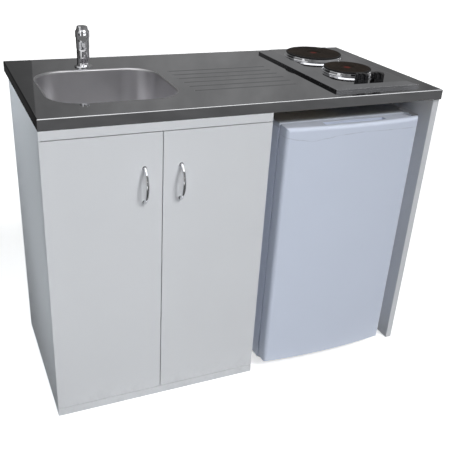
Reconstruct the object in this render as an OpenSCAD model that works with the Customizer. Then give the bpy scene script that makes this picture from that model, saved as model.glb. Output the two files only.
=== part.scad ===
// Kitchenette unit: a stainless worktop with a welded-in bowl, a mixer tap and a two-plate
// hob, on a two-door cupboard, with an under-counter refrigerator in the bay beside it.
// Millimetres. +X is to the right, -Y to the front and +Z up. The origin is on the floor,
// in the middle of the overall width and depth. Inside unit() the places are measured from
// the worktop's front left corner, on the floor.

/* [Worktop] */
// Width of the worktop and of the whole unit
unit_w = 1200; // [1180:5:1300]
// Depth of the worktop
unit_d = 600; // [590:5:640]
// Height of the worktop's top face above the floor
unit_h = 912; // [900:1:940]
// Height of the worktop's turned-down edge
skirt_h = 30; // [25:1:40]
// Thickness of the stainless sheet
sheet_t = 1.2; // [0.8:0.1:1.5]
// Outside radius of the bend along the worktop's upper edges
bend_r = 3; // [2:0.5:5]
// Distance from the drainer beads to the hob tray
bead_clear = 72; // [60:1:120]
// Number of drainer beads
bead_count = 6; // [3:1:6]
// Distance between drainer beads
bead_pitch = 44; // [30:1:46]
// Width of a drainer bead where it meets the deck
bead_w = 11; // [6:1:14]
// Height of a drainer bead above the deck
bead_h = 1.4; // [0.8:0.1:2]
// Distance from the bowl's rim to the drainer beads
bead_gap = 46; // [35:1:60]

/* [Bowl and waste] */
// Clear width of the bowl inside its rim
bowl_w = 356; // [330:2:380]
// Distance from the bowl's clear opening to the cupboard's rear rail
bowl_back = 43; // [35:1:60]
// Depth of the bowl from the deck to its floor
bowl_h = 150; // [130:5:170]
// Radius of the bowl's four vertical corners
bowl_r = 88; // [80:1:110]
// Radius of the rounded rim where the deck turns down into the bowl
rim_r = 6; // [4:0.5:8]
// Radius between the bowl's walls and its floor
bowl_fillet = 42; // [25:1:50]
// How far the walls lean in towards the floor
bowl_draft = 5; // [2:1:8]
// Left edge of the bowl's clear opening, from the worktop's left edge
bowl_x = 58; // [50:1:62]
// Front edge of the bowl's clear opening, from the worktop's front edge
bowl_y = 107; // [99:1:110]
// Radius of the drain hole in the bowl's floor
drain_r = 45; // [42:0.5:48]
// Radius of the waste flange that sits on the bowl's floor
waste_flange_r = 56; // [52:1:60]
// Depth of the waste's basket cup below the bowl's floor
cup_h = 46; // [40:1:55]
// Outer radius of the waste's outlet tube
outlet_r = 20; // [18:0.5:21]
// Outer radius of the bottle trap
trap_r = 36; // [30:1:40]
// Height of the bottle trap
trap_h = 120; // [100:5:130]
// Outer radius of the trap's outlet pipe
drain_pipe_r = 20; // [16:1:22]

/* [Tap] */
// Centre of the tap, from the worktop's left edge
tap_x = 222; // [180:1:260]
// Distance from the tap's centre to the back of the cupboard
tap_back = 18; // [12:1:20]
// Radius of the tap's base flange
tap_flange_r = 27; // [25:0.5:29]
// Radius of the tap's column
tap_r = 18.7; // [17:0.1:21]
// Height of the fixed column above the deck
tap_column_h = 56; // [45:1:80]
// Height of the swivelling collar
collar_h = 23; // [20:1:28]
// Reach of the spout from the tap's centre to its tip
spout_reach = 138; // [110:1:150]
// Width of the spout
spout_w = 23; // [18:1:26]
// Height of the spout's arm
spout_h = 17; // [14:1:19]
// Angle that the spout stands to the left of straight ahead
spout_turn = 13; // [0:1:30]
// Radius of the turning lever hub
hub_r = 21; // [19:0.5:23]
// Height of the turning lever hub
hub_h = 34; // [30:1:40]
// Reach of the lever from the tap's centre to its tip
lever_reach = 92; // [70:1:105]
// Radius of the threaded shank below the deck
shank_r = 16; // [14:0.5:16.5]
// Radius of the tap hole through the deck
tap_hole_r = 17.5; // [17:0.5:18]

/* [Hob] */
// Width of the hob tray
hob_w = 290; // [284:1:300]
// Depth of the hob tray
hob_d = 506; // [500:1:512]
// Distance from the hob tray to the worktop's right edge
hob_margin = 58; // [45:1:70]
// Distance from the hob tray to the worktop's front edge
hob_y = 44; // [38:1:48]
// Height of the tray's upright edge
hob_skirt_h = 7; // [6:0.5:9]
// Height of the tray's raised top above the deck
hob_top_h = 16; // [14:0.5:18]
// Width of the tray's sloping sides
hob_slope_x = 34; // [24:1:34]
// Width of the tray's sloping front and back
hob_slope_y = 16; // [12:1:18]
// Depth of the closed box under the hob, from the deck down
hob_box_h = 48; // [45:1:50]
// Radius of the rear hotplate
rear_plate_r = 92; // [85:0.5:92.5]
// Radius of the front hotplate
front_plate_r = 73.5; // [70:0.5:75]
// Height of the hotplates' tops above the tray
plate_rise = 14.5; // [13:0.5:16]
// Centre of the hotplates, from the hob tray's left edge
plate_in = 134; // [133:1:140]
// Centre of the rear hotplate, from the worktop's front edge
rear_plate_y = 409; // [402:1:415]
// Centre of the front hotplate, from the worktop's front edge
front_plate_y = 202; // [195:1:205]
// Centre of the two knobs, from the worktop's front edge
knob_y = 94; // [88:1:98]
// Distance between the two knobs
knob_pitch = 56; // [50:1:70]
// Radius of a knob at its lobes
knob_r = 21; // [17:0.5:22]
// Height of a knob
knob_h = 22; // [18:1:26]
// Radius of a knob's spindle
spindle_r = 3; // [2.5:0.5:4]

/* [Cupboard] */
// Width of the cupboard under the sink
cupboard_w = 630; // [620:5:650]
// Depth from the worktop's front edge to the back of the side panels
carcass_d = 500; // [500:5:540]
// Thickness of the cupboard's boards
board_t = 16; // [15:1:19]
// Thickness of the doors
door_t = 16; // [16:1:19]
// Clearance behind the doors
door_gap = 3; // [3:0.5:4]
// Gap round and between the doors
reveal = 2.5; // [2:0.5:4]
// Height of the plinth rail
plinth_h = 26; // [20:1:60]
// Height of the rail above the doors
fascia_h = 24; // [20:1:60]
// Thickness of the back panel
back_t = 4; // [3:0.5:6]
// Height of the shelf's underside above the floor
shelf_z = 310; // [200:5:420]
// Radius of the shelf pins
shelf_pin_r = 2.5; // [2:0.5:3]
// Radius of the door pivot pins
pivot_r = 3; // [2:0.5:3.5]
// Distance of a pivot from the door's outer edge
pivot_in = 7; // [6:0.5:7]
// Length of pin inside the door
pivot_l = 12; // [8:1:16]

/* [Handles] */
// Distance between a handle's two feet
handle_span = 96; // [64:32:128]
// Reach of a handle from the door's face
handle_proj = 33; // [28:1:38]
// Radius of the handle's bar
handle_r = 4.5; // [4:0.5:6]
// Height of the handle's arch above its feet
handle_rise = 22; // [16:1:24]
// Height of the handles' middle above the floor
handle_z = 713; // [600:1:740]
// Distance from a handle to the gap between the doors
handle_in = 51; // [30:1:70]

/* [Bay] */
// Thickness of the right end panel
end_t = 22; // [16:1:25]
// Distance from the worktop's front edge to the end panel's front
end_y = 7; // [0:1:12]
// Height of the cross rails at the back
rail_h = 60; // [50:1:66]
// Diameter of the wall fixing holes in the cupboard's rear rail
fixing_d = 8; // [6:1:10]
// Distance between the wall fixing holes
fixing_pitch = 480; // [400:10:520]

/* [Refrigerator] */
// Gap between the cupboard and the refrigerator
fridge_gap = 42; // [35:1:50]
// Gap between the refrigerator and the end panel
bay_clear = 56; // [45:1:70]
// Height of the refrigerator's top
fridge_h = 838; // [815:1:840]
// Depth of the refrigerator's insulated cabinet
fridge_d = 390; // [370:5:395]
// How far the flat edges of the door stand in front of the worktop's edge
fridge_out = 12; // [0:1:14]
// Thickness of the door's outer shell
fridge_door_t = 44; // [38:1:48]
// How far the door's front bulges between its edges
door_bow = 12; // [4:1:16]
// Radius of the door's upright front edges
door_edge_r = 12; // [8:1:16]
// Height of the door's lower edge above the floor
fridge_door_z = 32; // [28:1:40]
// Thickness of the refrigerator's insulated walls
wall_t = 36; // [30:1:38]
// Thickness of the refrigerator's plastic lining
liner_t = 2.5; // [2:0.5:3]
// Thickness of the door's seal
gasket_t = 8; // [6:0.5:10]
// Height of the refrigerator's feet
foot_h = 20; // [16:1:24]
// Radius of the refrigerator's hinge pins
hinge_pin_r = 4; // [3:0.5:5]
// Height of the ice box
icebox_h = 96; // [80:2:110]
// Depth of the ice box
icebox_d = 200; // [160:5:210]
// Height of the glass shelf above the refrigerator's floor
glass_z = 400; // [340:5:440]
// Height of the crisper drawer
crisper_h = 130; // [110:5:130]

/* [Fits] */
// Running clearance of a pin or shaft in its bore, on the radius
run_gap = 0.05; // [0.02:0.01:0.08]
// Clearance between pieces that are pushed or screwed together
fit_gap = 0.2; // [0.1:0.05:0.3]
// Gap between a moving piece and the fixed piece that carries it
seat_gap = 0.3; // [0.3:0.05:0.5]
// Clearance of holes that a pipe or a body passes through
pass_gap = 3; // [2:0.5:4]

/* [Hidden] */
$fn = 48;

// Colours
steel = [0.72, 0.73, 0.75];
chrome = [0.85, 0.86, 0.88];
white_board = [0.86, 0.87, 0.88];
chipboard = [0.74, 0.62, 0.45];
fridge_white = [0.82, 0.86, 0.93];
iron = [0.12, 0.12, 0.12];
black = [0.05, 0.05, 0.05];
grey_plastic = [0.55, 0.56, 0.58];

// Far enough past a face to cut through it cleanly
eps = 1;

// Levels of the worktop
deck_z = unit_h;
under_z = unit_h - skirt_h;
core_t = skirt_h - sheet_t;

// Bowl
bowl_d = carcass_d - board_t - bowl_back - bowl_y;
bowl_cx = bowl_x + bowl_w / 2;
bowl_cy = bowl_y + bowl_d / 2;
bowl_floor_z = deck_z - bowl_h;
cup_r = drain_r - 0.5;
cup_t = 2;
cup_floor_z = bowl_floor_z - cup_h;
outlet_l = 34;
outlet_z = cup_floor_z - outlet_l;
ledge_z = bowl_floor_z - 12;
trap_top_z = outlet_z - 26;
trap_axis_z = trap_top_z - 42;
trap_nut_h = 22;
trap_end_y = carcass_d + 58;

// Tap: heights are above the deck
tap_y = carcass_d - tap_back;
collar_z = tap_column_h + seat_gap;
head_z = collar_z + collar_h + seat_gap;
head_h = 7;
hub_z = head_z + head_h + seat_gap;
stub_r = 13;
neck_r = 8;
neck_h = 7;
shank_l = 62;
pivot_z = hub_z + 14;
slot_w = 7;
web_t = slot_w - 2 * seat_gap;
lever_w = 23;
lever_t = 7;
lever_drop = 7;
lever_pin_r = 2.5;
knuckle_r = 5;
tail_r = 5;
tail_nut_r = 7.5;
tail_l = 70;
nipple_h = 6;
spout_rise = 6;
aerator_r = 10.5;
aerator_h = 9;
aerator_y = -spout_reach + aerator_r + 3.5;

// Hob
hob_x = unit_w - hob_margin - hob_w;
hob_cx = hob_x + hob_w / 2;
bead_x = bowl_x + bowl_w + bead_gap;
bead_l = hob_x - bead_clear - bead_x;
hob_floor_z = deck_z + hob_top_h;
hob_in = 18;
box_in = 20;
pan_t = 1;
ring_h = 10;
plate_t = plate_rise - ring_h;
plate_cx = hob_x + plate_in;
knob_xs = [hob_cx - 2 - knob_pitch / 2, hob_cx - 2 + knob_pitch / 2];
switch_h = 30;
gland_r = 8;
gland_in = 45;
gland_back = 72;
slot_pitch = 38;
spindle_top = hob_floor_z + knob_h - 8;
spindle_low = hob_floor_z - sheet_t - switch_h + 12;

// Cupboard
front_t = door_t + door_gap;
door_w = (cupboard_w - reveal) / 2;
door_z = plinth_h + reveal;
fascia_z = under_z - fascia_h;
door_h = fascia_z - reveal - door_z;
pivot_y = door_t / 2 - 1;
inner_w = cupboard_w - 2 * board_t;
inner_d = carcass_d - back_t - front_t;
bottom_z = plinth_h - board_t;
handle_xs = [door_w - handle_in + reveal / 2, door_w + handle_in + reveal / 2];
arch_r = (pow(handle_span / 2, 2) + pow(handle_rise, 2)) / (2 * handle_rise);
arch_a = asin(handle_span / 2 / arch_r);
notch_w = 2 * (shank_r + 22);
notch_h = shank_l - skirt_h + 2;
tail_y = min(tap_y - 6, carcass_d - board_t - tail_nut_r - 0.5);
vent_w = 200;
vent_h = 170;

// Bay and refrigerator
end_x = unit_w - end_t;
rail_z = deck_z - hob_box_h - 8 - rail_h;
fx = cupboard_w + fridge_gap;
fridge_w = end_x - bay_clear - fx;
door_front_y = -fridge_out;
door_back_y = door_front_y + fridge_door_t;
fc_y = door_back_y + gasket_t;
fc_back = fc_y + fridge_d;
lid_t = 14;
fc_top = fridge_h - lid_t;
cav_x = fx + wall_t;
cav_w = fridge_w - 2 * wall_t;
cav_d = fridge_d - wall_t;
cav_z = foot_h + wall_t + 10;
cav_top = fc_top - wall_t;
step_h = 130;
step_y = fc_back - 128;
fl_x = cav_x + liner_t;
fl_w = cav_w - 2 * liner_t;
fl_z = cav_z + liner_t;
fl_top = cav_top - liner_t;
fl_back = fc_y + cav_d - liner_t;
hinge_in = 9;
hinge_x = fx + fridge_w - hinge_in;
hinge_back = 20;
hinge_y = door_front_y + hinge_back;
bracket_w = 24;
bracket_t = 3;
bracket_front = 8;
bracket_lap = 30;
pin_deep = 14;
door_under_lid = 2;
fridge_door_top = fridge_h - door_under_lid;
lid_front = 4;
lid_y = fc_y - lid_front;
lid_r = 4;
gasket_in = 14;
gasket_w = 18;
grip_w = 20;
grip_deep = 16;
grip_in = 9;
grip_left = fridge_w * 0.285;
grip_right = fridge_w * 0.255;
bow_r = (pow(fridge_w / 2 - door_edge_r, 2) + pow(door_bow, 2)) / (2 * door_bow);
ledge_w = 8;
dyke_in = 10;
dyke_t = 24;
dyke_d = 40;
rack_t = 2.5;
rack_h = 60;
rack_low = 8;
rack_gap = 232;
rack_next = 200;
rack_zs = [fl_z + rack_low, fl_z + rack_low + rack_gap, fl_z + rack_low + rack_gap + rack_next];
ice_x = fl_x + 0.5;
ice_w = fl_w - 1;
ice_z = fl_top - icebox_h - 0.5;
ice_y = fl_back - icebox_d - 0.5;
ice_t = 1.5;
flap_t = 6;
flap_pin_r = 2;
crisper_t = 2.5;
crisper_in = 55;
crisper_side = 4;
crisper_back = 6;
crisper_y = fc_y + crisper_in;
crisper_d = step_y - crisper_y - wall_t - crisper_back;
knob_pos_y = fc_y + 110;
knob_pos_z = ice_z - 50;
foot_in = 30;
foot_r = 10;
foot_pad_r = 16;
machine_in = 20;
machine_d = 110;
plate_sheet = 3;
pot_r = 48;
pot_h = 62;
pipe_r = 2.5;
wire_r = 1.2;
grid_in = 30;
grid_gap = 14;
grid_runs = 9;
grid_wires = 8;

// Overall reach, for the origin
front_reach = handle_proj;

// Places measured from the worktop's front left corner, on the floor
module unit() {
    translate([-unit_w / 2, (front_reach - unit_d) / 2, 0]) children();
}

// A rectangle with rounded corners, its corner at the origin
module round_rect(w, d, r) {
    translate([r, 0]) square([w - 2 * r, d]);
    translate([0, r]) square([w, d - 2 * r]);
    for (x = [r, w - r], y = [r, d - r]) translate([x, y]) circle(r);
}

// A section with its two upper corners rounded
module round_top(w, h, r) {
    square([w, h - r]);
    translate([r, 0]) square([w - 2 * r, h]);
    for (x = [r, w - r]) translate([x, h - r]) circle(r);
}

// A block whose four upper edges are rounded by the radius r
module round_top_block(w, d, h, r) {
    intersection() {
        translate([0, d, 0]) rotate([90, 0, 0]) linear_extrude(d) round_top(w, h, r);
        rotate([90, 0, 90]) linear_extrude(w) round_top(d, h, r);
    }
}

// A bar along X between two points, with round ends
module round_bar(l, r) {
    rotate([0, 90, 0]) cylinder(h = l, r = r);
    sphere(r);
    translate([l, 0, 0]) sphere(r);
}

// ---- Worktop ----

// The drainer's beads: low domed strips pressed up from the deck
module drainer_beads() {
    ball_r = (pow(bead_w / 2, 2) + pow(bead_h, 2)) / (2 * bead_h);
    first_y = bowl_cy - 8 - bead_pitch * (bead_count - 1) / 2;
    intersection() {
        for (i = [0:bead_count - 1])
            translate([bead_x, first_y + i * bead_pitch, deck_z + bead_h - ball_r]) round_bar(bead_l, ball_r);
        translate([bead_x - bead_w, first_y - bead_pitch, deck_z - sheet_t / 2])
            cube([bead_l + 2 * bead_w, bead_pitch * (bead_count + 1), bead_h + sheet_t]);
    }
}

// The hole that the hob's box hangs through
module hob_hole(h) {
    translate([hob_x + hob_in, hob_y + hob_in, 0]) cube([hob_w - 2 * hob_in, hob_d - 2 * hob_in, h]);
}

module worktop() unit() color(steel) difference() {
    union() {
        translate([0, 0, under_z]) round_top_block(unit_w, unit_d, skirt_h, bend_r);
        drainer_beads();
    }
    translate([sheet_t, sheet_t, under_z - eps])
        round_top_block(unit_w - 2 * sheet_t, unit_d - 2 * sheet_t, core_t + eps, bend_r - sheet_t / 2);
    translate([bowl_x - rim_r, bowl_y - rim_r, deck_z - sheet_t - eps])
        linear_extrude(sheet_t + 2 * eps) round_rect(bowl_w + 2 * rim_r, bowl_d + 2 * rim_r, bowl_r + rim_r);
    translate([tap_x, tap_y, under_z]) cylinder(h = skirt_h + eps, r = tap_hole_r);
    translate([0, 0, under_z]) hob_hole(skirt_h + eps);
}

module worktop_core() unit() color(chipboard) difference() {
    translate([sheet_t + fit_gap, sheet_t + fit_gap, under_z])
        round_top_block(unit_w - 2 * (sheet_t + fit_gap), unit_d - 2 * (sheet_t + fit_gap), core_t, bend_r);
    translate([bowl_x - rim_r - 2, bowl_y - rim_r - 2, under_z - eps])
        linear_extrude(core_t + 2 * eps)
            round_rect(bowl_w + 2 * rim_r + 4, bowl_d + 2 * rim_r + 4, bowl_r + rim_r + 2);
    translate([tap_x, tap_y, under_z - eps]) cylinder(h = core_t + 2 * eps, r = tap_hole_r);
    translate([0, 0, under_z - eps]) hob_hole(core_t + 2 * eps);
}

// ---- Bowl and waste ----

// Half of the bowl's section, measured from the axis of a corner: rim, wall and fillet
module bowl_section() {
    wall_h = bowl_h - bowl_fillet;
    translate([bowl_r + rim_r, -rim_r]) intersection() {
        difference() {
            circle(rim_r);
            circle(rim_r - sheet_t);
        }
        translate([-rim_r, 0]) square([rim_r, rim_r]);
    }
    polygon([[bowl_r, -rim_r], [bowl_r + sheet_t, -rim_r],
        [bowl_r - bowl_draft + sheet_t, -wall_h], [bowl_r - bowl_draft, -wall_h]]);
    translate([bowl_r - bowl_draft - bowl_fillet, -wall_h]) intersection() {
        difference() {
            circle(bowl_fillet + sheet_t);
            circle(bowl_fillet);
        }
        translate([0, -bowl_fillet - sheet_t]) square([bowl_fillet + sheet_t, bowl_fillet + sheet_t]);
    }
}

module sink_bowl() unit() color(steel) difference() {
    flat_in = bowl_draft + bowl_fillet;
    run_x = bowl_w - 2 * bowl_r;
    run_y = bowl_d - 2 * bowl_r;
    translate([bowl_x, bowl_y, deck_z]) union() {
        for (c = [[bowl_r, bowl_r, 180], [bowl_w - bowl_r, bowl_r, 270],
                  [bowl_w - bowl_r, bowl_d - bowl_r, 0], [bowl_r, bowl_d - bowl_r, 90]])
            translate([c[0], c[1], 0]) rotate([0, 0, c[2]]) rotate_extrude(angle = 90) bowl_section();
        for (s = [[bowl_r, bowl_d - bowl_r, 180, run_y], [bowl_w - bowl_r, bowl_r, 0, run_y],
                  [bowl_r, bowl_r, 270, run_x], [bowl_w - bowl_r, bowl_d - bowl_r, 90, run_x]])
            translate([s[0], s[1], 0]) rotate([0, 0, s[2]]) translate([0, s[3], 0])
                rotate([90, 0, 0]) linear_extrude(s[3]) bowl_section();
        translate([flat_in, flat_in, -bowl_h - sheet_t]) linear_extrude(sheet_t)
            round_rect(bowl_w - 2 * flat_in, bowl_d - 2 * flat_in, bowl_r - flat_in);
    }
    translate([bowl_cx, bowl_cy, bowl_floor_z - sheet_t - eps]) cylinder(h = sheet_t + 2 * eps, r = drain_r);
}

module waste_fitting() unit() color(chrome) translate([bowl_cx, bowl_cy, 0]) difference() {
    union() {
        translate([0, 0, bowl_floor_z]) cylinder(h = 2, r = waste_flange_r);
        translate([0, 0, cup_floor_z - cup_t]) cylinder(h = cup_h + cup_t + eps, r = cup_r);
        translate([0, 0, outlet_z]) cylinder(h = outlet_l, r = outlet_r);
    }
    translate([0, 0, ledge_z]) cylinder(h = cup_h, r = cup_r - cup_t);
    translate([0, 0, cup_floor_z]) cylinder(h = cup_h, r = cup_r - 3 * cup_t);
    translate([0, 0, outlet_z - eps]) cylinder(h = outlet_l + cup_h, r = outlet_r - cup_t);
}

module waste_nut() unit() color(grey_plastic)
    translate([bowl_cx, bowl_cy, bowl_floor_z - sheet_t - 12]) difference() {
        union() {
            cylinder(h = 12, r = cup_r + 8);
            for (a = [0:60:300]) rotate([0, 0, a]) translate([cup_r + 6, -4, 0]) cube([6, 8, 10]);
        }
        translate([0, 0, -eps]) cylinder(h = 12 + 2 * eps, r = cup_r + fit_gap);
    }

module strainer_basket() unit() color(chrome) translate([bowl_cx, bowl_cy, 0]) difference() {
    basket_r = cup_r - 3 * cup_t - 2;
    basket_h = cup_h - 18;
    rim_z = ledge_z + seat_gap;
    union() {
        translate([0, 0, rim_z]) cylinder(h = 1.5, r = cup_r - cup_t - 1);
        translate([0, 0, rim_z - basket_h]) cylinder(h = basket_h, r = basket_r);
    }
    difference() {
        translate([0, 0, rim_z - basket_h + 1.5]) cylinder(h = basket_h + 2, r = basket_r - 1.5);
        translate([0, 0, rim_z - basket_h]) cylinder(h = basket_h - 2, r = 3);
        translate([0, 0, rim_z - 6]) cylinder(h = 8, r = 9);
    }
    for (a = [0:30:330]) rotate([0, 0, a])
        translate([basket_r - 9, 0, rim_z - basket_h - eps]) cylinder(h = 4, r = 2.2);
    for (a = [0:60:300]) rotate([0, 0, a])
        translate([basket_r - 17, 0, rim_z - basket_h - eps]) cylinder(h = 4, r = 2.2);
}

module trap() unit() color([0.9, 0.9, 0.9]) translate([bowl_cx, bowl_cy, 0]) difference() {
    union() {
        translate([0, 0, outlet_z - 4]) cylinder(h = trap_nut_h, r = outlet_r + 8);
        translate([0, 0, trap_top_z - 10]) cylinder(h = outlet_z - trap_top_z + 10, r = outlet_r + 2);
        translate([0, 0, trap_top_z - trap_h]) cylinder(h = trap_h, r = trap_r);
        translate([0, 0, trap_top_z - trap_h - 10]) cylinder(h = 34, r = trap_r + 4);
        translate([0, 0, trap_axis_z]) rotate([-90, 0, 0]) cylinder(h = trap_end_y - bowl_cy, r = drain_pipe_r);
        translate([0, trap_r - 6, trap_axis_z]) rotate([-90, 0, 0]) cylinder(h = 28, r = drain_pipe_r + 6);
    }
    translate([0, 0, outlet_z]) cylinder(h = trap_nut_h, r = outlet_r + fit_gap);
    translate([0, 0, trap_top_z - 20]) cylinder(h = 60, r = outlet_r - cup_t);
    translate([0, trap_end_y - bowl_cy - 60, trap_axis_z]) rotate([-90, 0, 0])
        cylinder(h = 60 + eps, r = drain_pipe_r - cup_t);
}

// ---- Tap ----

module at_tap(turn = 0) {
    unit() translate([tap_x, tap_y, deck_z]) rotate([0, 0, turn]) children();
}

module tap_body() at_tap() color(chrome) {
    rotate_extrude() polygon([[0, 0], [tap_flange_r, 0], [tap_flange_r, 2.5], [tap_flange_r - 2, 4.5],
        [tap_r + 2.5, 5.5], [tap_r + 0.6, 8], [tap_r, 14], [tap_r, tap_column_h], [0, tap_column_h]]);
    cylinder(h = head_z, r = stub_r);
    translate([0, 0, -shank_l]) cylinder(h = shank_l, r = shank_r);
}

module tap_head() at_tap() color(chrome) {
    translate([0, 0, head_z]) cylinder(h = head_h, r = tap_r + 0.8);
    translate([0, 0, head_z + head_h]) cylinder(h = neck_h, r = neck_r);
}

// The arm's outline from the side: it rises a little to a flat-bottomed tip
module spout_side() {
    polygon([[0, 0], [spout_reach - 2 * aerator_r - 8, spout_rise], [spout_reach, spout_rise],
        [spout_reach, spout_rise + spout_h - 5], [spout_reach - 5, spout_rise + spout_h - 1], [0, spout_h - 1]]);
}

module tap_spout() at_tap(-spout_turn) color(chrome) difference() {
    union() {
        translate([0, 0, collar_z]) cylinder(h = collar_h, r = tap_r + 0.8);
        intersection() {
            translate([-spout_w / 2, 0, collar_z + 0.5]) rotate([90, 0, 90])
                mirror([1, 0, 0]) linear_extrude(spout_w) spout_side();
            translate([0, 0, collar_z]) union() {
                translate([-spout_w / 2, -spout_reach + spout_w / 2, 0]) cube([spout_w, spout_reach, collar_h]);
                translate([0, -spout_reach + spout_w / 2, 0]) cylinder(h = collar_h, r = spout_w / 2);
            }
        }
    }
    translate([0, 0, collar_z - eps]) cylinder(h = collar_h + 2 * eps, r = stub_r + run_gap);
    translate([0, aerator_y, collar_z]) cylinder(h = spout_rise + nipple_h + 2, r = aerator_r - 3);
}

module tap_aerator() at_tap(-spout_turn) color(chrome)
    translate([0, aerator_y, collar_z + 0.5 + spout_rise - aerator_h]) difference() {
        union() {
            cylinder(h = aerator_h, r = aerator_r);
            cylinder(h = aerator_h + nipple_h, r = aerator_r - 3 - fit_gap);
        }
        translate([0, 0, -eps]) cylinder(h = 4, r = aerator_r - 2);
    }

// The turning hub, with a fork that carries the lever on a cross pin
module lever_hub() at_tap(-spout_turn) color(chrome) {
    difference() {
        translate([0, 0, hub_z]) rotate_extrude() polygon([[0, 0], [hub_r - 1.5, 0], [hub_r, 2],
            [hub_r, hub_h * 0.55], [hub_r - 4, hub_h * 0.72], [hub_r - 5, hub_h - 2], [hub_r - 7, hub_h], [0, hub_h]]);
        translate([0, 0, hub_z - eps]) cylinder(h = neck_h - seat_gap + 1.5, r = neck_r + run_gap);
        translate([-slot_w / 2, -hub_r - eps, pivot_z - knuckle_r - 0.5]) cube([slot_w, hub_r + 8, hub_h]);
    }
    translate([-slot_w / 2 - 1, 0, pivot_z]) rotate([0, 90, 0]) cylinder(h = slot_w + 2, r = lever_pin_r);
}

// The lever: a flat strap on a web that fits the hub's fork
module tap_lever() at_tap(-spout_turn) color(chrome) difference() {
    translate([0, 0, pivot_z]) {
        translate([-web_t / 2, 0, 0]) rotate([0, 90, 0]) cylinder(h = web_t, r = knuckle_r);
        translate([-web_t / 2, -hub_r - 4, -4]) cube([web_t, hub_r + 4, 8]);
        difference() {
            translate([lever_w / 2, 0, 0]) rotate([90, 0, -90]) linear_extrude(lever_w)
                polygon([[hub_r + 1.5, -3], [lever_reach, -3 - lever_drop], [lever_reach, lever_t - 5 - lever_drop],
                    [hub_r + 4, lever_t - 3], [hub_r + 1.5, lever_t - 4]]);
            translate([0, 0, -20]) difference() {
                translate([-lever_w, -lever_reach - 5, 0]) cube([2 * lever_w, 20, 40]);
                translate([0, -lever_reach + lever_w / 2, 0]) cylinder(h = 40, r = lever_w / 2);
                translate([-lever_w, -lever_reach + lever_w / 2, 0]) cube([2 * lever_w, 20, 40]);
            }
        }
    }
    translate([-slot_w, 0, pivot_z]) rotate([0, 90, 0]) cylinder(h = 2 * slot_w, r = lever_pin_r + run_gap);
}

module tap_nut() unit() color(chrome) translate([tap_x, tap_y, under_z - 12]) difference() {
    union() {
        cylinder(h = 9, r = shank_r + 7, $fn = 6);
        translate([0, 0, 9]) cylinder(h = 3, r = shank_r + 9);
    }
    translate([0, 0, -eps]) cylinder(h = 12 + 2 * eps, r = shank_r + fit_gap);
}

module tap_tails() unit() color([0.72, 0.45, 0.25])
    for (s = [-1, 1]) translate([tap_x + s * 8, tail_y, deck_z - shank_l - tail_l]) {
        cylinder(h = tail_l, r = tail_r);
        cylinder(h = 14, r = tail_nut_r);
    }

// ---- Hob ----

// The tray's outer form: an upright edge and a sloping shoulder with mitred corners
module hob_form(w, d, lower, upper, sx, sy) {
    intersection() {
        translate([0, d, 0]) rotate([90, 0, 0]) linear_extrude(d)
            polygon([[0, -eps], [w, -eps], [w, lower], [w - sx, upper], [sx, upper], [0, lower]]);
        rotate([90, 0, 90]) linear_extrude(w)
            polygon([[0, 0], [d, 0], [d, lower], [d - sy, upper], [sy, upper], [0, lower]]);
    }
}

module hob_tray() unit() color(steel) difference() {
    translate([hob_x, hob_y, deck_z])
        hob_form(hob_w, hob_d, hob_skirt_h, hob_top_h, hob_slope_x, hob_slope_y);
    translate([hob_x + sheet_t, hob_y + sheet_t, deck_z - eps])
        hob_form(hob_w - 2 * sheet_t, hob_d - 2 * sheet_t, hob_skirt_h - sheet_t + eps,
            hob_top_h - sheet_t + eps, hob_slope_x, hob_slope_y);
    translate([plate_cx, rear_plate_y, deck_z]) cylinder(h = hob_top_h + eps, r = rear_plate_r - 12);
    translate([plate_cx, front_plate_y, deck_z]) cylinder(h = hob_top_h + eps, r = front_plate_r - 12);
    for (x = knob_xs) translate([x, knob_y, deck_z]) cylinder(h = hob_top_h + eps, r = spindle_r + 2);
}

// The pan that closes the hob from below, held by the hotplates' studs
module hob_box() unit() color([0.6, 0.61, 0.62]) difference() {
    box_x = hob_x + box_in;
    box_y = hob_y + box_in;
    box_w = hob_w - 2 * box_in;
    box_d = hob_d - 2 * box_in;
    box_z = deck_z - hob_box_h;
    top = deck_z + hob_skirt_h - 2 * sheet_t;
    translate([box_x, box_y, box_z]) cube([box_w, box_d, top - box_z]);
    translate([box_x + pan_t, box_y + pan_t, box_z + pan_t])
        cube([box_w - 2 * pan_t, box_d - 2 * pan_t, top - box_z]);
    translate([box_x + box_w - gland_in, box_y + box_d - gland_back, box_z - pan_t])
        cylinder(h = 4 * pan_t, r = gland_r);
    for (i = [-2:2]) translate([hob_cx + i * slot_pitch + 14, box_y + box_d * 0.4, box_z - eps]) cube([10, 60, 3]);
}

// The bright trim ring that a hotplate stands on
module plate_ring(plate_r, y) {
    unit() color(chrome) translate([plate_cx, y, hob_floor_z]) rotate_extrude()
        polygon([[plate_r - 14, 0], [plate_r + 5, 0], [plate_r + 5, 1.2], [plate_r + 2.5, 3],
            [plate_r + 1, ring_h - 1.5], [plate_r - 1, ring_h], [plate_r - 14, ring_h]]);
}

module rear_ring() plate_ring(rear_plate_r, rear_plate_y);
module front_ring() plate_ring(front_plate_r, front_plate_y);

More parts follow.
